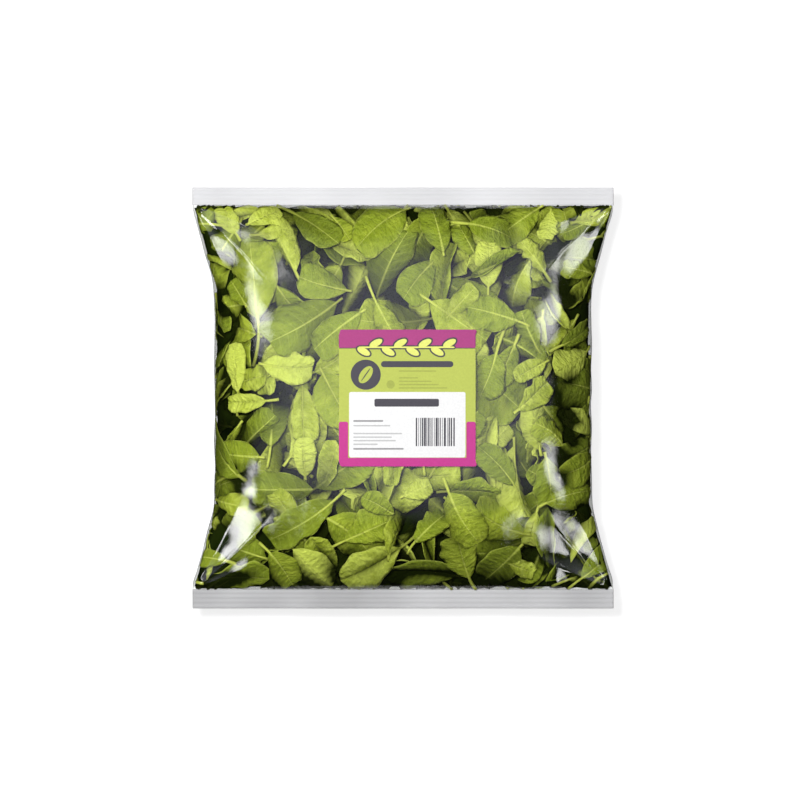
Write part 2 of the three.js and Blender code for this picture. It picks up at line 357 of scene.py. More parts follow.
class Shader:
    """A short way to write the nodes of a material, or of the world."""

    def __init__(self, name, world=False):
        self.owner = (bpy.data.worlds if world else bpy.data.materials).new(name)
        self.owner.use_nodes = True
        self.tree = self.owner.node_tree
        self.tree.nodes.clear()
        self.output = self.node("OutputWorld" if world else "OutputMaterial")

    def node(self, kind, settings=None, **inputs):
        """A new node. An input is named, or numbered after a _, and is given as a value, as the
        output that it takes, or as the node whose first output it takes."""
        made = self.tree.nodes.new("ShaderNode" + kind)
        for key, value in (settings or {}).items():
            setattr(made, key, value)
        for key, value in inputs.items():
            socket = made.inputs[int(key[1:])] if key[0] == "_" else made.inputs[key.replace("_", " ")]
            if isinstance(value, bpy.types.Node):
                value = value.outputs[0]
            if isinstance(value, bpy.types.NodeSocket):
                self.tree.links.new(value, socket)
            else:
                socket.default_value = value
        return made

    def math(self, operation, a, b=0.0):
        return self.node("Math", {"operation": operation}, _0=a, _1=b)

    def times(self, a, b):
        return self.math("MULTIPLY", a, b)

    def lean(self, direction, axis):
        """How near a direction is to an axis, as the product of the two."""
        made = self.node("VectorMath", {"operation": "DOT_PRODUCT"}, _0=direction, _1=axis)
        return made.outputs["Value"]

    def attribute(self, name):
        return self.node("Attribute", {"attribute_name": name}).outputs["Fac"]

    def object_place(self):
        return self.node("TexCoord").outputs["Object"]

    def noise(self, vector, scale, detail=2.0):
        return self.node("TexNoise", Vector=vector, Scale=scale, Detail=detail).outputs["Fac"]

    def mix(self, share, a, b):
        return self.node("Mix", {"data_type": "RGBA"}, _0=share, _6=a, _7=b).outputs[2]

    def range(self, value, from_low, from_high, to_low=0.0, to_high=1.0, smooth=False):
        settings = {"interpolation_type": "SMOOTHSTEP" if smooth else "LINEAR"}
        limits = {"_1": from_low, "_2": from_high, "_3": to_low, "_4": to_high}
        return self.node("MapRange", settings, _0=value, **limits)

    def ramp(self, value, *stops):
        """A ramp between two or more stops, each a place and a colour."""
        made = self.node("ValToRGB", Fac=value)
        elements = made.color_ramp.elements
        for element, (place, shade) in zip(elements, (stops[0], stops[-1])):
            element.position, element.color = place, shade
        for place, shade in stops[1:-1]:
            elements.new(place).color = shade
        return made

    def finish(self, surface):
        self.tree.links.new(surface.outputs[0], self.output.inputs["Surface"])
        return self.owner


def grey(value):
    return (value, value, value, 1)


def darkened(rgb, share):
    """Linear colour of an sRGB one given from 0 to 255, darkened to a share of it."""
    values = np.array(rgb) / 255
    linear = np.where(values <= 0.04045, values / 12.92, ((values + 0.055) / 1.055) ** 2.4)
    return (*(share * linear).tolist(), 1)


# Spinach leaves

LEAF_SEED = 41
SIDE_VEINS = 8  # pairs on each leaf
FINE_COLUMNS = np.array([-1, -0.82, -0.6, -0.38, -0.18, -0.06, 0, 0.06, 0.18, 0.38, 0.6, 0.82, 1])
COARSE_COLUMNS = np.array([-1, -0.8, -0.5, -0.15, 0, 0.15, 0.5, 0.8, 1])
STALK_SIDES = 6
LEAF_THICKNESS = 0.45
LEAF_GAP = 0.35
FILM_MARGIN = 0.4
SIDE_PRESS = 26  # percent more of a leaf that is pressed against the film at the bag's sides
SIDE_ZONE = (0.06, 0.14)  # how far from the sides that ends, as shares of a face
TUCK = 1.2  # mm above which the deepest parts of leaves in front may poke through
TUCK_PERCENT = 82  # of a leaf, above which parts count as the deepest
CELL = 1.6  # of the map of how deep the leaves lie
MAP_MARGIN, BLADE_MARGIN = 1.5, 0.6  # mm that leaves stay away from the seals

LEAF_KINDS = {
    # name: how many, blade length, width for its length, tone, lengthwise fold and tilt in degrees
    "leaves_broad": (300, (32, 52), (0.6, 0.8), (-0.05, 0.62), (0, 16), 9),
    "leaves_young": (280, (18, 34), (0.56, 0.76), (0.32, 1.05), (0, 26), 14),
    "leaves_folded": (290, (28, 48), (0.58, 0.76), (0.25, 1.15), (34, 74), 14),
    "leaves_turned": (270, (26, 44), (0.54, 0.74), (0.12, 1.05), (5, 45), 34),
}
FINE_SHARE = 0.38  # of the leaves, those nearest to the film, have a fine mesh
PRESSED_SHARE = 0.25
PALE_SHARE = 0.2
PALE_GAIN = 0.4  # in tone, of the palest leaves
# Painted shade at the bag's rim: leaves there get a lower tone, and those behind the first ones are
# shaded as if deeper still
RIM_PAINTED_SHADE = 0.27
RIM_DEEPER = 2.0
RIM_CLEAR = 1.5  # mm of depth at which a leaf at the rim still gets the full light
RIM_REACH = (6.0, 34.0)  # mm inside the bag's outline
BACK_ZONE = (0.56, 0.94)  # t
BACK_GAIN = 5.0  # mm by which a place on the back has to be better, as it is hardly seen
PATTERNS = 40  # whole numbers that are added to a leaf's places, so that its pattern differs

# How single leaves differ: ranges, or the middle and the spread where a line says so
PHASES = (0, 6.3)
BASE_POWERS, TIP_POWERS = (0.46, 0.74), (0.37, 0.54)  # of the outline
ROW_CROWDING = 0.02
OUTLINE_WAVE, OUTLINE_WAVES = 0.035, (9, 19)
LOPSIDED = 0.08  # spread
ROW_LEANS, ROW_CURVE = (0.18, 0.42), 1.25
SICKLE = (0, 0.0032)  # middle and spread
FOLD_DOWN_SHARE = 0.35
CURL, TWIST = (0.004, 0.03), (0, 0.011)  # middle and spread, to a mm
ARCH, ARCH_PRESSED = (0.003, 0.02), (0.003, 0.012)  # the same
PITCH, PITCH_SPREAD = 2, 0.6  # degrees, and a share of the tilt
TURNED_OVER_SHARE = 0.36
PRESSED_FLATNESS = 0.8
# Percent of a leaf that isn't bent to fit, and how much more for each mm of its height
CONFORM, CONFORM_FOR_HEIGHT, CONFORM_LIMITS = 50, 1.8, (55, 84)
EXTRA_GAP, EXTRA_GAP_PRESSED = 0.5, 0.2  # mm, on average
QUILT_HEIGHT, QUILT_POWER = 0.030, 0.8
MIDRIB_DIP, MIDRIB_WIDTH = 0.55, 0.09
RUFFLE_WAVES, RUFFLE_HEIGHTS, RUFFLE_POWER = (1.4, 3.6), (0.5, 2.8), 2.4
STALK_LENGTHS, STALK_CHANCES, STALK_STRETCH = [0.1, 0.3, 0.5], [0.5, 0.32, 0.18], (0.7, 1.2)
STALK_INSIDE = 0.3  # of the blade's length, along which it runs on as the midrib
STALK_SWAY, STALK_DROOP = (0, 0.008), (-0.006, 0.008)  # middle and spread
STALK_RADII, MIDRIB_END, MIDRIB_SWELL, STALK_SWELL = (0.7, 1.1), 0.45, 0.55, 0.22
MIDRIB_SINK, STALK_SINK = 0.25, 0.1
STRAIGHT = 1e-4  # curvature below which nothing is bent


def blade_outline(length, width, columns, rows, rng):
    """Rows and columns of a flat blade, base at the origin and tip along +Y. Its rows lean
    towards the tip at both sides, as the side veins do."""
    along = np.linspace(0, 1, rows)
    along = along + ROW_CROWDING * np.sin(along * math.tau)
    base_power, tip_power = rng.uniform(*BASE_POWERS), rng.uniform(*TIP_POWERS)
    widest = base_power / (base_power + tip_power)
    full = widest**base_power * (1 - widest) ** tip_power
    half = width / 2 * along**base_power * (1 - along) ** tip_power / full
    waves, phase = rng.uniform(*OUTLINE_WAVES), rng.uniform(*PHASES)
    half = half * (1 + OUTLINE_WAVE * np.sin(along * waves + phase))
    side = 1 + LOPSIDED * rng.normal() * np.sign(columns)
    x = half[:, None] * columns * side
    lean = rng.uniform(*ROW_LEANS)
    y = length * along[:, None] + lean * half[:, None] * np.abs(columns) ** ROW_CURVE
    return x, y, along, half


def bend(flat, height, curvature):
    """Curls a length and a height about an axis, keeping the length."""
    if abs(curvature) < STRAIGHT:
        return flat, height
    angle = flat * curvature
    radius = 1 / curvature - height
    return np.sin(angle) * radius, 1 / curvature - np.cos(angle) * radius


class Leaf:
    """One leaf in its own frame: X across, Y to the tip, Z towards the film."""

    def __init__(self, kind, rng, pressed, fine):
        _, lengths, widths, tones, folds, tilt = LEAF_KINDS[kind]
        self.kind = kind
        self.columns = FINE_COLUMNS if fine else COARSE_COLUMNS
        self.rows = 2 * SIDE_VEINS + 1 if fine else SIDE_VEINS + 1
        self.stalk_rings = 9 if fine else 6
        length = rng.uniform(*lengths)
        width = length * rng.uniform(*widths)
        self.tone = rng.uniform(*tones)
        outline = blade_outline(length, width, self.columns, self.rows, rng)
        self.flat_x, self.y, self.along, half = outline
        self.fade = (half / half.max())[:, None]
        sickle = rng.normal(*SICKLE)
        self.x = self.flat_x + sickle * (self.y - STALK_INSIDE * length) ** 2
        share = np.abs(self.columns)
        z = self.quilting(share, width) + self.ruffle(share, rng)
        fold = np.radians(rng.uniform(*folds))
        fold = fold * rng.choice([-1, 1], p=[FOLD_DOWN_SHARE, 1 - FOLD_DOWN_SHARE])
        z = z + np.abs(self.flat_x) * np.sin(fold)
        self.x = self.x - self.flat_x * (1 - np.cos(fold))
        self.x, z = bend(self.x, z, rng.normal(*CURL))
        self.x, z = turned(self.x, z, (self.y - self.y.mean()) * rng.normal(*TWIST))
        arch = rng.normal(*(ARCH_PRESSED if pressed else ARCH))
        stalk_x, stalk_y, stalk_z = self.make_stalk(length, sickle, rng)
        self.stalk = np.array([stalk_x, *bend(stalk_y, stalk_z, arch)])
        self.y, self.z = bend(self.y, z, arch)
        flip = -1 if rng.random() < TURNED_OVER_SHARE else 1
        roll, pitch = rng.normal(0, tilt), rng.normal(PITCH, tilt * PITCH_SPREAD)
        flatness = PRESSED_FLATNESS if pressed else 1
        self.tip(flip, np.radians(roll), np.radians(pitch), flatness)
        self.conform = np.clip(CONFORM + CONFORM_FOR_HEIGHT * np.ptp(self.z), *CONFORM_LIMITS)
        self.extra_gap = rng.exponential(EXTRA_GAP_PRESSED if pressed else EXTRA_GAP)

    def quilting(self, share, width):
        """The blade rises between its veins and dips along them."""
        between = (np.arange(self.rows) % 2)[:, None]
        dome = np.sin(np.clip(share, 0, 1) * math.pi) ** QUILT_POWER
        midrib = -MIDRIB_DIP * np.exp(-((share / MIDRIB_WIDTH) ** 2))
        return QUILT_HEIGHT * width * between * dome * self.fade + midrib * self.fade

    def ruffle(self, share, rng):
        """The blade's edge waves, on either side in its own way."""
        waves = rng.uniform(*RUFFLE_WAVES)
        left = np.sin(self.along * waves * math.tau + rng.uniform(*PHASES))
        right = np.sin(self.along * waves * math.tau + rng.uniform(*PHASES))
        side = np.where(self.columns < 0, left[:, None], right[:, None])
        return rng.uniform(*RUFFLE_HEIGHTS) * side * share**RUFFLE_POWER * self.fade

    def make_stalk(self, length, sickle, rng):
        """The stalk's middle line from the blade's base outwards. It also runs a little way up the
        underside, as the midrib."""
        run = length * rng.choice(STALK_LENGTHS, p=STALK_CHANCES) * rng.uniform(*STALK_STRETCH)
        inside = STALK_INSIDE * length
        along = np.linspace(-inside, run, self.stalk_rings)
        outside = np.maximum(along, 0)
        sway = sickle * (along + inside) ** 2 + rng.normal(*STALK_SWAY) * outside**2
        droop = rng.normal(*STALK_DROOP) * outside**2
        thick = rng.uniform(*STALK_RADII)
        on_blade = along < 0
        radius = thick * np.where(on_blade, MIDRIB_END + MIDRIB_SWELL * (1 + along / inside), 1.0)
        self.stalk_radius = radius * (1 + STALK_SWELL * outside / run)
        return sway, -along, np.where(on_blade, -MIDRIB_SINK * thick, -STALK_SINK) + droop

    def tip(self, flip, roll, pitch, flatness):
        """Turns the leaf over or not, tilts it about its length and across it, and flattens it."""
        middle = self.y.mean()

        def tipped(x, y, z):
            x, z = turned(x, z * flip, roll)
            y, z = turned(y - middle, z, pitch)
            return x, y, z * flatness

        self.x, self.y, self.z = tipped(self.x, self.y, self.z)
        self.stalk = np.array(tipped(*self.stalk))


class DepthMap:
    """How deep under the film the leaves laid so far reach, over the whole girth."""

    def __init__(self):
        self.low = np.interp(BODY_BOTTOM, pillow.y, pillow.along) + MAP_MARGIN
        self.high = np.interp(BODY_TOP, pillow.y, pillow.along) - MAP_MARGIN
        self.columns = int(GIRTH / CELL)
        self.rows = int((self.high - self.low) / CELL) + 2
        self.depth = np.full((self.rows, self.columns), FILM_MARGIN)

    def cells(self, a, b):
        column = np.round(a / GIRTH * self.columns).astype(int) % self.columns
        row = np.clip(np.round((b - self.low) / CELL).astype(int), 0, self.rows - 1)
        return row, column

    def at(self, a, b):
        return self.depth[self.cells(a, b)]

    def cover(self, a, b, depth):
        """Marks a grid of points, filled in between, as reached down to their depths."""
        for axis in (0, 1):
            a, b, depth = (refine(values, axis) for values in (a, b, depth))
        np.maximum.at(self.depth, self.cells(a, b), depth)


def refine(values, axis, fine=4):
    """Fills a grid of values in along one axis, with so many steps for each of its own."""
    count = values.shape[axis]
    if count < 2:
        return values
    places = np.linspace(0, count - 1, (count - 1) * fine + 1)
    low = np.minimum(places.astype(int), count - 2)
    shape = [1, 1]
    shape[axis] = -1
    share = (places - low).reshape(shape)
    return lerp(np.take(values, low, axis), np.take(values, low + 1, axis), share)


def spread_over(excess):
    """Spreads a leaf's bulges over their surroundings, and never lowers one."""
    for _ in range(3):
        padded = np.pad(excess, 1, mode="edge")
        around = (padded[2:, 1:-1] + padded[:-2, 1:-1] + padded[1:-1, 2:] + padded[1:-1, :-2]) / 4
        excess = np.maximum(excess, around)
    return excess


class Bagful:
    """Lays leaves one by one from the film inwards, each behind those before it."""

    TRIES = 10

    def __init__(self):
        self.rng = np.random.default_rng(LEAF_SEED)
        self.map = DepthMap()
        self.laid = {kind: [] for kind in LEAF_KINDS}

    def place(self, leaf, a, b, heading):
        """Where the blade and the stalk lie on the film, shifted to stay clear of the seals."""
        blade_a, blade_b = turned(leaf.x, leaf.y, heading)
        stalk_a, stalk_b = turned(*leaf.stalk[:2], heading)
        lowest = b + min(blade_b.min(), stalk_b.min())
        highest = b + max(blade_b.max(), stalk_b.max())
        b = b + max(self.map.low - lowest, 0) + min(self.map.high - highest, 0)
        return a + blade_a, b + blade_b, a + stalk_a, b + stalk_b

    def lay(self, leaf):
        best = None
        for _ in range(self.TRIES):
            a = self.rng.uniform(0, GIRTH)
            b = self.rng.uniform(self.map.low, self.map.high)
            spot = self.place(leaf, a, b, self.rng.uniform(0, math.tau))
            need = self.map.at(spot[0], spot[1]) + LEAF_GAP
            need = np.minimum(need, np.percentile(need, TUCK_PERCENT) + TUCK)
            at_side = 1 - smoothstep(abs((2 * a / GIRTH + 0.5) % 1 - 0.5), *SIDE_ZONE)
            conform = leaf.conform - SIDE_PRESS * at_side
            offset = np.percentile(need + leaf.z, conform) + leaf.extra_gap * (1 - at_side)
            score = offset + BACK_GAIN * (BACK_ZONE[0] < a / GIRTH < BACK_ZONE[1])
            if best is None or score < best[0]:
                best = (score, offset, need, spot)
        _, offset, need, (blade_a, blade_b, stalk_a, stalk_b) = best
        own = offset - leaf.z
        depth = own + spread_over(np.maximum(need - own, 0))
        middle = len(leaf.columns) // 2
        base = depth[0, middle] - (offset - leaf.z[0, middle])
        stalk_need = self.map.at(stalk_a, stalk_b) + LEAF_GAP + leaf.stalk_radius
        stalk_depth = smooth_line(np.maximum(offset - leaf.stalk[2] + base, stalk_need))
        self.map.cover(blade_a, blade_b, depth + LEAF_THICKNESS)
        self.map.cover(stalk_a[:, None], stalk_b[:, None], (stalk_depth + leaf.stalk_radius)[:, None])
        self.laid[leaf.kind].append((leaf, blade_a, blade_b, depth, stalk_a, stalk_b, stalk_depth))

    def fill(self):
        order = [kind for kind, (count, *_) in LEAF_KINDS.items() for _ in range(count)]
        self.rng.shuffle(order)
        for n, kind in enumerate(order):
            share = n / len(order)
            self.lay(Leaf(kind, self.rng, pressed=share < PRESSED_SHARE, fine=share < FINE_SHARE))
        return self.laid


def smooth_line(values):
    for _ in range(2):
        padded = np.pad(values, 1, mode="edge")
        values = np.maximum(values, (padded[2:] + padded[:-2]) / 2)
    return values


def film_place(a, b):
    """t and y of a place given in millimetres round the girth and along the film."""
    y = np.interp(b, pillow.along, pillow.y)
    return a / GIRTH, np.clip(y, BODY_BOTTOM + BLADE_MARGIN, BODY_TOP - BLADE_MARGIN)


def grid_normals(points):
    normals = np.cross(np.gradient(points, axis=1), np.gradient(points, axis=0))
    return normals / np.maximum(np.linalg.norm(normals, axis=2, keepdims=True), 1e-9)


def grid_faces(rows, columns, start):
    corner = start + (np.arange(rows - 1)[:, None] * columns + np.arange(columns - 1)).ravel()
    return np.stack([corner, corner + 1, corner + columns + 1, corner + columns], axis=1)


def ring_faces(rows, columns):
    """Quads of a grid of points that closes on itself sideways."""
    row = np.arange(rows - 1)[:, None] * columns
    corner = (row + np.arange(columns)[None, :]).ravel()
    after = (row + (np.arange(columns)[None, :] + 1) % columns).ravel()
    return np.stack([corner, corner + columns, after + columns, after], axis=1)


def flat_caps(rows, columns):
    """Faces that close the first and the last ring of such a grid, from side to side."""
    faces = []
    last = (rows - 1) * columns
    for n in range(columns // 2):
        strip = list(dict.fromkeys([n, n + 1, columns - n - 1, (columns - n) % columns]))
        faces += [strip, [last + corner for corner in reversed(strip)]]
    return faces


def rim_faces(rows, columns, upper, lower):
    """Quads that join the edges of two grids of points."""
    last = (rows - 1) * columns
    far, near = np.arange(rows - 1) * columns + columns - 1, np.arange(rows - 1, 0, -1) * columns
    edge = np.concatenate([np.arange(columns - 1), far, last + np.arange(columns - 1, 0, -1), near])
    after = np.roll(edge, -1)
    return np.stack([upper + after, upper + edge, lower + edge, lower + after], axis=1)


def sheet_faces(rows, columns, start):
    """Faces of a closed sheet, whose upper grid of points starts there and its lower one follows."""
    lower = start + rows * columns
    top, bottom = (grid_faces(rows, columns, first) for first in (start, lower))
    return np.concatenate([top, bottom[:, ::-1], rim_faces(rows, columns, start, lower)]).tolist()


def tube(points, radius, sides):
    """Rings of points round a line, with a last point at each end."""
    ahead = np.gradient(points, axis=0)
    ahead /= np.linalg.norm(ahead, axis=1, keepdims=True)
    side = np.cross(ahead, [0.0, 0.0, 1.0])
    side /= np.maximum(np.linalg.norm(side, axis=1, keepdims=True), 1e-6)
    up = np.cross(side, ahead)
    turn = np.arange(sides) / sides * 2 * math.pi
    ring = side[:, None] * np.cos(turn)[None, :, None] + up[:, None] * np.sin(turn)[None, :, None]
    rings = points[:, None] + ring * radius[:, None, None]
    return np.concatenate([rings.reshape(-1, 3), points[:1], points[-1:]])


def tube_faces(count, sides, start):
    """Faces of such a tube, closed at its ends."""
    faces = (start + np.roll(ring_faces(count, sides)[:, ::-1], 1, axis=1)).tolist()
    first = start + count * sides
    top = first - sides
    for n in range(sides):
        after = (n + 1) % sides
        faces.append((start + after, start + n, first))
        faces.append((top + n, top + after, first + 1))
    return faces


def rim_shade_share(place):
    """How much painted shade a leaf gets at the rim: 1 beside the bottom seal and the sides of the
    bag, and 0 well inside it.
    """
    beside = 1 - smoothstep(half_width(place[1]) - abs(place[0]), *RIM_REACH)
    end = 1 - smoothstep(depth_from_seal(place[1]), *RIM_REACH)
    return beside if place[1] > BODY_MIDDLE else max(beside, end)


def shaded_depth(depth, rim):
    """The depth that a place is shaded for: little light gets past the first leaves at the rim."""
    return depth + RIM_DEEPER * rim * np.maximum(depth - RIM_CLEAR, 0)


def leaf_attributes(leaf, depth, stem_depth, rim, rng):
    """What the material reads, each for the blade's upper side, its lower side and the stem."""
    pale = PALE_GAIN if rng.random() < PALE_SHARE else 0.0
    # painted shade: a lower tone for leaves at the rim
    tone = leaf.tone + pale - RIM_PAINTED_SHADE * rim
    along = np.repeat(leaf.along, len(leaf.columns)) * 0.999 + rng.uniform(0, PATTERNS) // 1
    across = leaf.flat_x.ravel()
    edge = np.tile(np.abs(leaf.columns), leaf.rows)
    deep = shaded_depth(depth.ravel(), rim)
    return {
        "tone": (tone, tone, tone),
        "underside": (0, 1, 0.5),
        "stalk": (0, 0, 1),
        "across": (across, across, 0),
        "along": (along, along, 0),
        "edge": (edge, edge, 0),
        "deep": (deep, deep, shaded_depth(stem_depth, rim)),
    }


def add_leaf_mesh(name, laid, material):
    """All leaves of one kind as one mesh of closed thin sheets with their stalks."""
    points, faces, attributes = [], [], {}
    start = 0
    rng = np.random.default_rng(LEAF_SEED + 1)
    for leaf, blade_a, blade_b, depth, stalk_a, stalk_b, stalk_depth in laid:
        middle = inner_points(*film_place(blade_a, blade_b), depth)
        offset = grid_normals(middle) * LEAF_THICKNESS / 2
        line = inner_points(*film_place(stalk_a, stalk_b), stalk_depth)
        stem = tube(line, leaf.stalk_radius, STALK_SIDES)
        parts = [(middle + offset).reshape(-1, 3), (middle - offset).reshape(-1, 3), stem]
        points += parts
        faces += sheet_faces(leaf.rows, len(leaf.columns), start)
        faces += tube_faces(leaf.stalk_rings, STALK_SIDES, start + 2 * depth.size)
        start += sum(len(part) for part in parts)
        rim = rim_shade_share(middle.reshape(-1, 3).mean(0))
        stem_depth = np.append(np.repeat(stalk_depth, STALK_SIDES), stalk_depth[[0, -1]])
        for key, values in leaf_attributes(leaf, depth, stem_depth, rim, rng).items():
            spread = [np.broadcast_to(value, len(part)) for value, part in zip(values, parts)]
            attributes.setdefault(key, []).extend(spread)
    made = mesh_object(name, np.concatenate(points), faces, [material])
    for key, values in attributes.items():
        add_attribute(made, key, np.concatenate(values))
    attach(made, "root")


# Looks of the leaves, in linear colours
LEAF_TONES = (
    (0.0, (0.072, 0.119, 0.003, 1)),
    (0.35, (0.192, 0.270, 0.008, 1)),
    (0.7, (0.445, 0.522, 0.048, 1)),
    (1.0, (0.83, 0.92, 0.18, 1)),
)
UNDERSIDE_TINT, UNDERSIDE_SHARE = (0.415, 0.49, 0.055, 1), 0.42
VEIN_TINTS = ((0.66, 0.74, 0.12, 1), (0.72, 0.79, 0.16, 1))  # above and below
STEM_TINTS = ((0.51, 0.58, 0.06, 1), (0.80, 0.86, 0.18, 1))
# Painted shade: the leaves' colour goes towards a near-black tint between these depths in mm, at most
# by this share
SHADOW_TINT, SHADOW_DEPTHS, SHADOW_MOST = (0.006, 0.011, 0.001, 1), (1.5, 10.2), 0.98
PATCH_GAIN, MOTTLE_GAIN = 0.2, 0.06  # in tone
RIB_WIDTHS, RIB_FADE = (1.1, 0.25), (1.0, 0.45)  # from the base to the tip, and from out to in
VEIN_FADE, VEIN_REACH, VEIN_END = 0.42, (2.0, 13.0), 0.05
NET_SCALE, NET_WIDTH = 0.42, 0.07
EDGE_LIGHT_WIDTH = 0.1
RIB_STRENGTH, VEIN_STRENGTH, NET_STRENGTH, EDGE_LIGHT_STRENGTH = 0.66, 0.26, 0.10, 0.45
MOTTLE_HEIGHT, VEIN_HEIGHT, PUCKER_HEIGHT = 0.3, 0.6, 3.2
LEAF_ROUGHNESS, LEAF_SHINE, SHINE_TINT = (0.3, 0.5), (0.6, 0.0), (0.9, 1.0, 0.3, 1)
LEAF_GLOW = 0.16  # share of the light that comes through


def vein_strength(s, across, along):
    """How much the midrib, the side veins, the net between them and the blade's edge show. The paler
    edge is painted light, as if light came through the thin margin.
    """
    part, aside = s.math("FRACT", along), s.math("ABSOLUTE", across)
    rib = s.math("DIVIDE", aside, s.range(part, 0.0, 1.0, *RIB_WIDTHS))
    rib = s.range(rib, *RIB_FADE, smooth=True)
    phase = s.math("FRACT", s.times(part, SIDE_VEINS))
    vein = s.math("ABSOLUTE", s.math("SUBTRACT", phase, 0.5))
    vein = s.range(vein, VEIN_FADE, 0.5, smooth=True)
    vein = s.times(vein, s.range(aside, *VEIN_REACH, 1.0, VEIN_END))
    place = s.node("CombineXYZ", X=across, Y=s.times(along, 45.0))
    net = s.node("TexVoronoi", {"feature": "DISTANCE_TO_EDGE"}, Vector=place, Scale=NET_SCALE)
    net = s.range(net.outputs["Distance"], NET_WIDTH, 0.0)
    # painted light along the blade's edge
    edge = s.range(s.attribute("edge"), 1 - EDGE_LIGHT_WIDTH, 1.0)
    strength = s.times(rib, RIB_STRENGTH)
    for lines, most in ((vein, VEIN_STRENGTH), (net, NET_STRENGTH), (edge, EDGE_LIGHT_STRENGTH)):
        strength = s.math("MAXIMUM", strength, s.times(lines, most))
    return strength


def leaf_colour(s, under, patches, mottle, veins, shade):
    """The blade's green by its tone, with pale veins and a paler edge that is painted light, the stem,
    and painted shade deep in the bag.
    """
    level = s.math("ADD", s.attribute("tone"), s.range(patches, 0.3, 0.7, -PATCH_GAIN, PATCH_GAIN))
    level = s.math("ADD", level, s.range(mottle, 0.3, 0.7, -MOTTLE_GAIN, MOTTLE_GAIN))
    blade = s.mix(s.times(under, UNDERSIDE_SHARE), s.ramp(level, *LEAF_TONES), UNDERSIDE_TINT)
    blade = s.mix(veins, blade, s.mix(under, *VEIN_TINTS))
    stem = s.mix(s.noise(s.object_place(), 260.0), *STEM_TINTS)
    return s.mix(shade, s.mix(s.attribute("stalk"), blade, stem), SHADOW_TINT)


def leaf_material():
    """Green blades with a pale midrib, side veins and a fine net between them."""
    s = Shader("spinach_leaf")
    across, along, under = s.attribute("across"), s.attribute("along"), s.attribute("underside")
    place = s.node("CombineXYZ", X=across, Y=s.times(along, 50.0))
    patches, mottle, pucker = s.noise(place, 0.11), s.noise(place, 0.7, 3.0), s.noise(place, 0.26)
    veins = vein_strength(s, across, along)
    # Painted shade by depth under the film, which also takes the shine off the deeper leaves
    shade = s.range(s.attribute("deep"), *SHADOW_DEPTHS, 0.0, SHADOW_MOST)
    base = leaf_colour(s, under, patches, mottle, veins, shade)
    height = s.math("SUBTRACT", s.times(mottle, MOTTLE_HEIGHT), s.times(veins, VEIN_HEIGHT))
    height = s.math("ADD", height, s.times(pucker, PUCKER_HEIGHT))
    bump = s.node("Bump", Height=height, Strength=0.7, Distance=0.0011)
    leaf = s.node(
        "BsdfPrincipled",
        Base_Color=base,
        Roughness=s.range(under, 0.0, 1.0, *LEAF_ROUGHNESS),
        Normal=bump,
        Specular_IOR_Level=s.range(shade, 0.0, 1.0, *LEAF_SHINE),
        Specular_Tint=SHINE_TINT,
    )
    light = s.node("BsdfTranslucent", Color=base, Normal=bump)
    return s.finish(s.node("MixShader", _0=LEAF_GLOW, _1=leaf, _2=light))


def add_leaves():
    material = leaf_material()
    for kind, laid in Bagful().fill().items():
        add_leaf_mesh(kind, laid, material)


# The imported leaves too deep to be told apart, as a body whose near-black colour is painted shade

CORE_GIRTH_STEPS, CORE_ROWS = 150, 74
CORE_DEPTH_FRONT = 16.0
CORE_DEPTH_SIDE = 4.5
CORE_DEPTH_CORNER = 1.4
CORE_CORNER_REACH = (25, 55)  # mm from the seals
CORE_SIDE_REACH = (0.02, 0.34)  # 0 at the side, 1 in the middle of the front or the back
CORE_END = 2.0
CORE_LUMPS = 0.2  # their height, as a share of the depth at the sides
LUMPS_ROUND, LUMP_SHIFTS_ROUND = 9, 5
LUMP_SHIFT, LUMP_PITCH, LUMP_SLANT = 3, 7, 9  # radians, and mm to a radian
LUMP_SWAY, LUMP_SWAY_PITCH = 2, 17
# near-black, painted shade for the leaves deep in the bag
CORE_SHADE_TINTS = ((0.002, 0.004, 0.0005, 1), (0.012, 0.020, 0.002, 1))


def core_material():
    s = Shader("deep_leaves_painted_shade")
    place = s.object_place()
    cells = s.node("TexVoronoi", {"feature": "F1"}, Vector=place, Scale=55.0)
    level = s.math("ADD", cells.outputs["Distance"], s.times(s.noise(place, 160.0, 3.0), 0.4))
    tint = s.mix(s.range(level, 0.3, 0.9), *CORE_SHADE_TINTS)
    bump = s.node("Bump", Height=level, Strength=0.6, Distance=0.002)
    look = {"Base_Color": tint, "Roughness": 0.6, "Normal": bump, "Specular_IOR_Level": 0.0}
    return s.finish(s.node("BsdfPrincipled", **look))


def core_lumps(turn, y):
    """Lumps from -1 to 1 that wander round the bag and along it."""
    sway = LUMP_SWAY * np.sin(y / LUMP_SWAY_PITCH)
    shift = LUMP_SHIFT * np.sin(LUMP_SHIFTS_ROUND * turn)
    return np.sin(LUMPS_ROUND * turn + y / LUMP_SLANT + sway) * np.sin(y / LUMP_PITCH + shift)


def add_core():
    """A lumpy body behind the leaves, so that no light comes through the bag. Its near-black colour is
    painted shade for the leaves deep inside.
    """
    y = np.linspace(BODY_BOTTOM + CORE_END, BODY_TOP - CORE_END, CORE_ROWS)
    t, y = np.meshgrid(np.arange(CORE_GIRTH_STEPS) / CORE_GIRTH_STEPS, y)
    turn = math.tau * t
    inside = smoothstep(depth_from_seal(y), *CORE_CORNER_REACH)
    side = lerp(CORE_DEPTH_CORNER, CORE_DEPTH_SIDE, inside)
    facing = smoothstep(np.abs(np.sin(turn)), *CORE_SIDE_REACH)
    depth = lerp(side, CORE_DEPTH_FRONT, facing) + CORE_LUMPS * side * core_lumps(turn, y)
    points = inner_points(t, y, depth).reshape(-1, 3)
    faces = ring_faces(*t.shape).tolist() + flat_caps(*t.shape)
    made = mesh_object("leaf_core", points, faces, [core_material()])
    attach(made, "root")


# The film

FILM_GIRTH_STEPS = 320
FILM_CROWDING = 0.75  # from 0 to 1: how much closer together its columns are at the sides
FILM_END_CROWDING = 0.45  # and its rows beside the seals
FILM_SEAL_STEPS = 4  # for each rise or fall of a rib
FILM_BODY_STEPS = 180
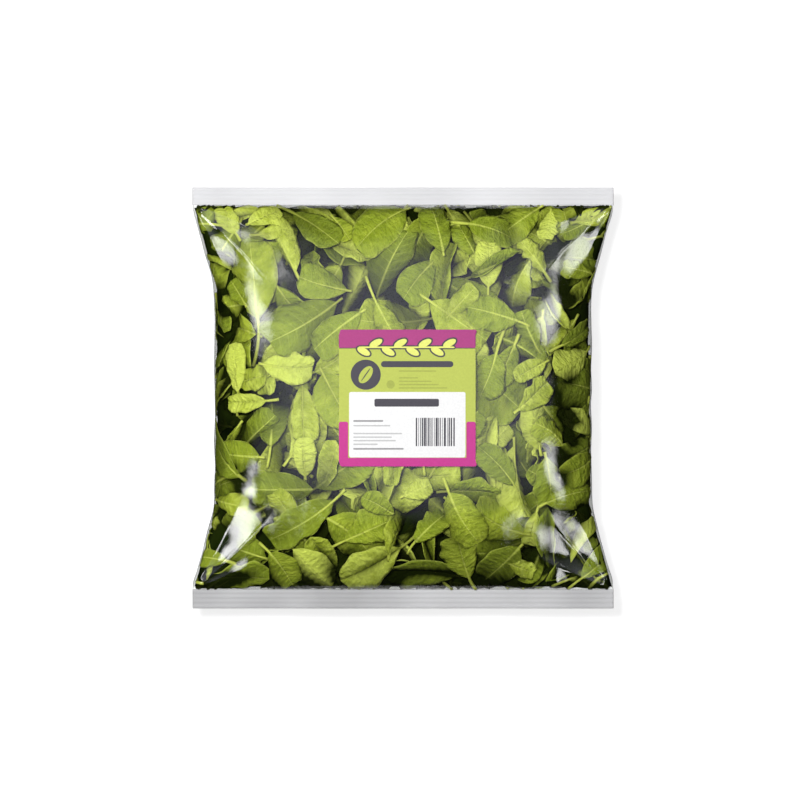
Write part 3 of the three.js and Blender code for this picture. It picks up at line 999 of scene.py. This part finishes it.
# Pitch, sway and the sway's pitch in mm to a radian, and phase, round the bag and along it
RIPPLES = ((8.6, 1.7, 21, 0), (17, 1.3, 27, 2))
FINE_PITCHES, FINE_SWAY, FINE_SWAY_PITCH = ((3.9, 9.1), (12.4, 5.3)), 1.1, 8
RIPPLE_HEIGHT, FINE_RIPPLE_HEIGHT = 0.16, 0.05
RIPPLE_START = 12  # mm from the seals
WRINKLE_HEIGHT = 0.5
WRINKLE_PITCH = 6.6  # mm to a radian
WRINKLE_REACH = 46.0
WRINKLE_START = (14, 40)  # mm from the seals
WRINKLE_SHIFT = 2.4  # radians, between the bag's two sides
WANDER, WANDER_PITCH = 1.9, 23
SLANT, SLANT_PITCHES = 0.9, (19, 41)  # across the bag and along it
FILM_TINT, FILM_IOR, FILM_ROUGHNESS = (0.97, 0.98, 0.965, 1), 1.5, 0.1
FILM_GAIN, FILM_MOST = 1.5, 0.5  # of what the film mirrors, and the most that it mirrors
# The welds' grey goes darker from the top seal to the bottom one as painted shade
WELD_SHADE_TINTS = ((0.35, 0.35, 0.35, 1), (0.59, 0.59, 0.60, 1))  # at the bottom and at the top
WELD_CLOUD, WELD_CLOUD_SHARE = (0.8, 0.8, 0.81, 1), 0.32
WELD_COVER, WELD_ROUGHNESS = 0.86, 0.38
WELD_PLACE = 0.12  # m from the bag's middle
WELD_EDGE = (-0.4, 0.2)  # mm outside the body


def film_stations():
    """Places along the bag, closer together beside the seals."""
    ribs = SEAL_RIBS * 2 * FILM_SEAL_STEPS
    lower = np.linspace(-BAG_LENGTH / 2, BODY_BOTTOM, ribs + 1)[:-1]
    upper = np.linspace(BODY_TOP, BAG_LENGTH / 2, ribs + 1)[1:]
    share = np.linspace(-1, 1, FILM_BODY_STEPS + 1)
    eased = lerp(share, np.sin(share * math.pi / 2), FILM_END_CROWDING)
    return np.concatenate([lower, BODY_MIDDLE + BODY_REACH * eased, upper])


def swaying(a, b, pitch, sway, sway_pitch, phase):
    """Ripples along a, which sway along b."""
    return np.sin(a / pitch + sway * np.sin(b / sway_pitch + phase))


def film_crinkle(t, y):
    """Low wandering ripples that break up the film's reflections."""
    a = t * GIRTH
    ripple = swaying(a, y, *RIPPLES[0]) * swaying(y, a, *RIPPLES[1])
    (first_a, first_y), (second_a, second_y) = FINE_PITCHES
    fine = np.sin(a / first_a + y / first_y + FINE_SWAY * np.sin(y / FINE_SWAY_PITCH))
    fine = fine * np.sin(y / second_y - a / second_a)
    rise = smoothstep(depth_from_seal(y), 0, RIPPLE_START)
    return rise * (RIPPLE_HEIGHT * ripple + FINE_RIPPLE_HEIGHT * fine)


def side_wrinkles(t, y):
    """Wrinkles that run inwards from the bag's sides, where it has more length than it needs."""
    front, along, across = face_place(t)
    shift = np.where((along < BAG_WIDTH / 2) == front, 0.0, WRINKLE_SHIFT)
    slant = np.sin(across / SLANT_PITCHES[0] + y / SLANT_PITCHES[1])
    wander = WANDER * np.sin(y / WANDER_PITCH + shift) + SLANT * slant
    wrinkle = 0.5 + 0.5 * np.sin(y / WRINKLE_PITCH + wander + 2 * shift)
    fade = np.exp(-((across / WRINKLE_REACH) ** 2))
    return WRINKLE_HEIGHT * wrinkle * fade * smoothstep(depth_from_seal(y), *WRINKLE_START)


def film_material():
    """Clear glossy film, frosted where it is welded, with lighter and darker stretches there, and
    painted shade that makes the welds darker towards the bottom.
    """
    s = Shader("clear_film")
    place = s.object_place()
    bump = s.node("Bump", Height=s.noise(place, 55.0, 3.0), Strength=0.25, Distance=0.0008)
    clear = s.node("BsdfTransparent", Color=FILM_TINT)
    gloss = s.node("BsdfGlossy", Color=grey(1), Roughness=FILM_ROUGHNESS, Normal=bump)
    mirrored = s.times(s.node("Fresnel", IOR=FILM_IOR, Normal=bump), FILM_GAIN)
    film = s.node("MixShader", _0=s.math("MINIMUM", mirrored, FILM_MOST), _1=clear, _2=gloss)
    height = s.node("SeparateXYZ", Vector=place).outputs["Y"]
    tint = s.mix(s.range(height, -WELD_PLACE, WELD_PLACE), *WELD_SHADE_TINTS)
    clouds = s.range(s.noise(place, 16.0, 1.0), 0.36, 0.64, 0.0, WELD_CLOUD_SHARE)
    tint = s.mix(clouds, tint, WELD_CLOUD)
    frost = s.node("BsdfPrincipled", Base_Color=tint, Roughness=WELD_ROUGHNESS)
    frosted = s.node("MixShader", _0=WELD_COVER, _1=clear, _2=frost)
    return s.finish(s.node("MixShader", _0=s.attribute("weld"), _1=film, _2=frosted))


def add_film():
    share = np.arange(FILM_GIRTH_STEPS) / FILM_GIRTH_STEPS
    t = share - FILM_CROWDING * np.sin(4 * math.pi * share) / (4 * math.pi)
    t, y = np.meshgrid(t, film_stations())
    points = film_points(t, y, film_crinkle(t, y) + side_wrinkles(t, y))
    points[..., 2] = np.maximum(points[..., 2], 0)
    faces, caps = ring_faces(*t.shape).tolist(), flat_caps(*t.shape)
    smooth = [True] * len(faces) + [False] * len(caps)
    made = mesh_object("film", points.reshape(-1, 3), faces + caps, [film_material()], smooth=smooth)
    add_attribute(made, "weld", smoothstep(-depth_from_seal(y), *WELD_EDGE).ravel())
    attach(made, "root")
    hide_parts("pouch")


# The label

PAPER_ROUGHNESS, PAPER_SHINE, PAPER_GRAIN = 0.42, 0.2, 900.0
WORN = 0.9  # of the print's brightness
INKS = {
    # in sRGB
    "lime": (197, 208, 101),
    "magenta": (208, 72, 152),
    "plum": (182, 78, 138),
    "white": (252, 252, 252),
    "dark": (84, 82, 88),
    "yellow": (240, 244, 130),
    "grey": (168, 168, 168),
    "pale_grey": (205, 205, 205),
    "olive": (176, 186, 92),
}

# The print. A bar has an ink, the x and y of its middle, a width, a height, a corner radius and a
# layer, which counts what it is printed on. A line has the same, without its x and radius.
HALF = LABEL_SIZE / 2
BAND, ARM, ARM_HEIGHT, FOOT = 11.8, 5.9, 28.4, 5.5
FRAME_BARS = (
    ("lime", 0, 0, LABEL_SIZE, LABEL_SIZE, LABEL_CORNER, 0),
    ("plum", 0, HALF - BAND / 2, LABEL_SIZE, BAND, 1.2, 1),
    ("dark", 0, HALF - BAND, LABEL_SIZE - 0.2, 0.5, 0, 2),
    ("magenta", ARM / 2 - HALF, ARM_HEIGHT / 2 - HALF, ARM, ARM_HEIGHT, 1.2, 1),
    ("magenta", HALF - ARM / 2, ARM_HEIGHT / 2 - HALF, ARM, ARM_HEIGHT, 1.2, 1),
    ("magenta", 0, FOOT / 2 - HALF, LABEL_SIZE, FOOT, 1.2, 2),
)
GARLAND_LEAVES, GARLAND_X, GARLAND_Y, GARLAND_PITCH = 8, -0.4, 32.2, 7.8
GARLAND_SWING, GARLAND_TURN = 2.6, -62  # mm and degrees, to either side by turns
GARLAND_LEAF, GARLAND_LEAF_MIDDLE = (11.2, 6.2), (9.0, 4.2)
BADGE_X, BADGE_Y, BADGE_SIZE, BADGE_TURN = -26.4, 14.8, 19.1, -35
BADGE_LEAF, BADGE_MIDRIB = (12.5, 7.0), (10.5, 0.7)
LEAF_STEP = 1.5  # of their meshes
DOT_X, DOT_Y, DOT_SIZE = -10.6, 8.6, 5.4
TITLE_STRIP = (("dark", 6.3, 21.5, 46.0, 3.9, 1.9, 1),)
SIDE_LINES_LEFT = -5.5
SIDE_LINES = tuple(
    ("olive", y, width, 0.9, 1)
    for y, width in ((17.1, 24.0), (12.8, 12.5), (10.6, 21.0), (8.5, 25.5), (6.4, 31.0))
)
PANEL_BARS = (
    ("white", 0, -17.0, 74.0, 41.6, 1.2, 3),
    ("dark", -0.4, -3.0, 41.0, 5.0, 1.0, 4),
)
PANEL_LINES_LEFT = -34.3
GREY_LINES = (("grey", -14.6, 19.0, 1.2, 4), ("grey", -32.3, 32.0, 1.1, 4))
PALE_LINES = tuple(
    ("pale_grey", y, width, 0.9, 4)
    for y, width in ((-17.6, 23.5), (-22.6, 31.0), (-24.9, 24.5), (-27.1, 27.0), (-29.4, 15.5))
)
PATTERN_LEFT, PATTERN_RIGHT, PATTERN_Y, PATTERN_HEIGHT = 5.4, 30.4, -21.6, 18.0
PATTERN_WIDTHS, PATTERN_GAPS = [0.35, 0.55, 0.9, 1.3], [0.35, 0.5, 0.8]
PATTERN_SEED = 5


def ink_material(name, rgb):
    s = Shader("label_" + name)
    grain = s.noise(s.object_place(), PAPER_GRAIN, 3.0)
    shades = (darkened(rgb, PAPER_SHADE), darkened(rgb, WORN * PAPER_SHADE))
    look = {
        "Base_Color": s.mix(s.range(grain, 0.3, 0.7), *shades),
        "Roughness": PAPER_ROUGHNESS,
        "Normal": s.node("Bump", Height=grain, Strength=0.12, Distance=0.0002),
        "Specular_IOR_Level": PAPER_SHINE,
    }
    return s.finish(s.node("BsdfPrincipled", **look))


def rounded_rows(width, height, radius, step=2.5):
    """Rows of a rounded rectangle about the origin: y, and x at both ends."""
    straight_x, straight_y = width / 2 - radius, height / 2 - radius
    turns = np.linspace(0, math.pi / 2, max(2, int(radius * 2) + 2))
    arc = [(straight_y + radius * math.cos(a), straight_x + radius * math.sin(a)) for a in turns]
    count = max(1, math.ceil(2 * straight_y / step))
    sides = [(y, width / 2) for y in np.linspace(-straight_y, straight_y, count + 1)[1:-1]]
    rows = [(-y, x) for y, x in arc] + sides + arc[::-1]
    return [(y, -x, x) for y, x in rows]


def leaf_rows(length, width, steps=8):
    """Rows of a plain pointed oval."""
    turns = np.linspace(0, math.pi, steps + 1)
    y, x = -length / 2 * np.cos(turns), width / 2 * np.sin(turns)
    return np.stack([y, -x, x], axis=1)


class Label:
    """Collects the label's paper and the fields printed on it into one mesh."""

    def __init__(self):
        self.points, self.faces, self.looks = [], [], []
        self.start = 0

    def plate(self, ink, rows, x, y, layer, turn=0, step=2.5):
        """A thin closed plate that follows the film, turned by some degrees."""
        rows = np.array(rows)
        columns = max(2, math.ceil((rows[:, 2] - rows[:, 1]).max() / step) + 1)
        local_x = lerp(rows[:, 1:2], rows[:, 2:3], np.linspace(0, 1, columns))
        plate_x, plate_y = turned(local_x, rows[:, :1], math.radians(turn))
        bag_y = y + plate_y
        t = pillow.front_middle(bag_y) - (x + plate_x + LABEL_OFFSET) / pillow.girth_at(bag_y)
        top = LABEL_LIFT + LABEL_THICKNESS + layer * INK_STEP
        bottom = LABEL_LIFT if layer == 0 else top - 2 * INK_STEP
        self.points += [film_points(t, bag_y, lift).reshape(-1, 3) for lift in (top, bottom)]
        faces = sheet_faces(*t.shape, self.start)
        self.faces += faces
        self.looks += [list(INKS).index(ink)] * len(faces)
        self.start += 2 * t.size

    def bars(self, table):
        for ink, x, y, width, height, radius, layer in table:
            self.plate(ink, rounded_rows(width, height, max(radius, 0.05)), x, y, layer)

    def lines(self, left, radius, table):
        for ink, y, width, height, layer in table:
            self.bars([(ink, left + width / 2, y, width, height, radius, layer)])

    def finish(self):
        inks = [ink_material(name, rgb) for name, rgb in INKS.items()]
        points = np.concatenate(self.points)
        made = mesh_object("label_print", points, self.faces, inks, self.looks, smooth=False)
        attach(made, "root")
        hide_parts("label")


def add_garland(label):
    """Plain leaves on a stem, each dark with a yellow middle."""
    length = GARLAND_LEAVES * GARLAND_PITCH
    label.bars([("dark", GARLAND_X, GARLAND_Y, length, 2.6, 1.2, 3)])
    for n in range(GARLAND_LEAVES):
        side = 1 if n % 2 else -1
        x = (n - (GARLAND_LEAVES - 1) / 2) * GARLAND_PITCH + GARLAND_X
        y, turn = GARLAND_Y + GARLAND_SWING * side, GARLAND_TURN * side
        label.plate("dark", leaf_rows(*GARLAND_LEAF), x, y, 3, turn, LEAF_STEP)
        label.plate("yellow", leaf_rows(*GARLAND_LEAF_MIDDLE), x, y, 4, turn, LEAF_STEP)
    label.bars([("yellow", GARLAND_X, GARLAND_Y, length - 1.4, 1.0, 0.5, 5)])


def add_badge(label):
    """A round badge with a leaf and its midrib."""
    disc = rounded_rows(BADGE_SIZE, BADGE_SIZE, 9.5)
    label.plate("dark", disc, BADGE_X, BADGE_Y, 1)
    label.plate("lime", leaf_rows(*BADGE_LEAF), BADGE_X, BADGE_Y, 2, BADGE_TURN, LEAF_STEP)
    label.plate("dark", leaf_rows(*BADGE_MIDRIB), BADGE_X, BADGE_Y, 3, BADGE_TURN, LEAF_STEP)


def add_bar_pattern(label):
    rng = np.random.default_rng(PATTERN_SEED)
    x = PATTERN_LEFT
    while x < PATTERN_RIGHT:
        width = rng.choice(PATTERN_WIDTHS)
        label.bars([("dark", x + width / 2, PATTERN_Y, width, PATTERN_HEIGHT, 0, 4)])
        x += width + rng.choice(PATTERN_GAPS)


def add_label():
    """The paper, its coloured frame, plain fields where the print is, and plain bars."""
    label = Label()
    label.bars(FRAME_BARS)
    add_garland(label)
    add_badge(label)
    label.bars(TITLE_STRIP)
    label.plate("olive", rounded_rows(DOT_SIZE, DOT_SIZE, DOT_SIZE / 2), DOT_X, DOT_Y, 1)
    label.lines(SIDE_LINES_LEFT, 0.4, SIDE_LINES)
    label.bars(PANEL_BARS)
    label.lines(PANEL_LINES_LEFT, 0.3, GREY_LINES + PALE_LINES)
    add_bar_pattern(label)
    label.finish()


# The studio

SKY_STOPS = ((0.0, grey(0.12)), (0.5, grey(1.0)))  # from the horizon up
AMBIENT = 0.16
BOX_AXIS = (0.0, 0.2, 1.0)
BOX_STOPS = ((0.66, grey(0.008)), (0.92, (0.96, 0.92, 1.32, 1)))  # the last at its middle

# Round lamps with soft edges, two for each corner of the bag, whose film mirrors them: azimuth,
# elevation and reach in degrees, and brightness
LAMPS = (
    (158, 47, 9.5, 9.0),
    (129, 44, 8.5, 5.0),
    (21, 46, 10.0, 8.5),
    (50, 43, 8.5, 5.0),
    (-17, 44, 8.5, 9.0),
    (-55, 42, 8.0, 9.0),
    (-157, 42, 9.0, 14.0),
    (-128, 46, 9.0, 9.0),
)
LAMP_CORE = 0.25  # share of a lamp's reach that has its full brightness

# Area lights, which nothing mirrors: name, place, size and power
LIGHTS = (("key", (-0.38, 0.32, 1.92), 0.32, 45), ("top", (0.1, 0.1, 2.2), 1.0, 7))

FLOOR_SIZE = 4000.0
FLOOR_TINTS, FLOOR_ROUGHNESS, FLOOR_GLOW = (grey(0.29), grey(0.31)), 0.9, 0.8

PHOTO_PIXELS = 800
PHOTO_BAG_PIXELS, PHOTO_BAG_MIDDLE = 421, (403, 398)
CAMERA_DISTANCE = 5000.0
SENSOR_WIDTH = 36.0


def add_light(name, place, size, power):
    light = bpy.data.lights.new(name, "AREA")
    light.size = size
    light.energy = power
    made = bpy.data.objects.new(name, light)
    made.location = place
    made.rotation_euler = (-Vector(place)).to_track_quat("-Z", "Y").to_euler()
    made.visible_glossy = False
    made.visible_camera = False
    bpy.context.scene.collection.objects.link(made)


def lamp_strength(s, direction, azimuth, elevation, reach, brightness):
    """Strength of a round lamp with soft edges, seen in some direction."""
    azimuth, elevation = math.radians(azimuth), math.radians(elevation)
    level, height = math.cos(elevation), math.sin(elevation)
    axis = (level * math.cos(azimuth), level * math.sin(azimuth), height)
    start, full = (math.cos(math.radians(angle)) for angle in (reach, LAMP_CORE * reach))
    return s.range(s.lean(direction, axis), start, full, 0.0, brightness, smooth=True)


def add_world():
    """White to the eye and soft light from above. Where the film mirrors it, the world is a wide
    soft box and the lamps."""
    s = Shader("studio", world=True)
    direction = s.node("TexCoord").outputs["Generated"]
    box = s.ramp(s.lean(direction, BOX_AXIS), *BOX_STOPS)
    sky = s.ramp(s.node("SeparateXYZ", Vector=direction).outputs["Z"], *SKY_STOPS)
    lamps = 0.0
    for lamp in LAMPS:
        lamps = s.math("ADD", lamp_strength(s, direction, *lamp), lamps)
    glow = s.node("Background", Color=grey(1), Strength=lamps)
    mirrored = s.node("AddShader", _0=s.node("Background", Color=box), _1=glow)
    ambient = s.node("Background", Color=sky, Strength=AMBIENT)
    white = s.node("Background", Color=grey(1))
    path = s.node("LightPath").outputs
    lit = s.node("MixShader", _0=path["Is Glossy Ray"], _1=ambient, _2=mirrored)
    seen = s.node("MixShader", _0=path["Is Camera Ray"], _1=lit, _2=white)
    bpy.context.scene.world = s.finish(seen)


def add_floor():
    s = Shader("floor_white")
    look = {
        "Base_Color": s.mix(s.range(s.noise(s.object_place(), 40.0), 0.3, 0.7), *FLOOR_TINTS),
        "Roughness": FLOOR_ROUGHNESS,
        "Emission_Color": grey(1),
        "Emission_Strength": FLOOR_GLOW,
    }
    white = s.finish(s.node("BsdfPrincipled", **look))
    corners = [(x * FLOOR_SIZE, y * FLOOR_SIZE, 0) for x, y in ((-1, -1), (1, -1), (1, 1), (-1, 1))]
    floor = mesh_object("floor", corners, [(0, 1, 2, 3)], [white], smooth=False)
    floor.visible_glossy = False
    floor.visible_diffuse = False


def add_camera():
    """Looks straight down at the bag, framed as the photograph is."""
    pixel = BAG_WIDTH / PHOTO_BAG_PIXELS
    camera = bpy.data.cameras.new("camera")
    camera.sensor_width = SENSOR_WIDTH
    camera.lens = SENSOR_WIDTH * CAMERA_DISTANCE / (pixel * PHOTO_PIXELS)
    made = bpy.data.objects.new("camera", camera)
    x, y = (PHOTO_PIXELS / 2 - place for place in PHOTO_BAG_MIDDLE)
    made.location = Vector((x * pixel, -y * pixel, SEAL_LEVEL + CAMERA_DISTANCE)) * MM
    bpy.context.scene.collection.objects.link(made)
    bpy.context.scene.camera = made


add_camera()
add_world()
add_floor()
for light in LIGHTS:
    add_light(*light)
add_leaves()
add_core()
add_film()
add_label()

bpy.context.scene.view_settings.view_transform = "Standard"
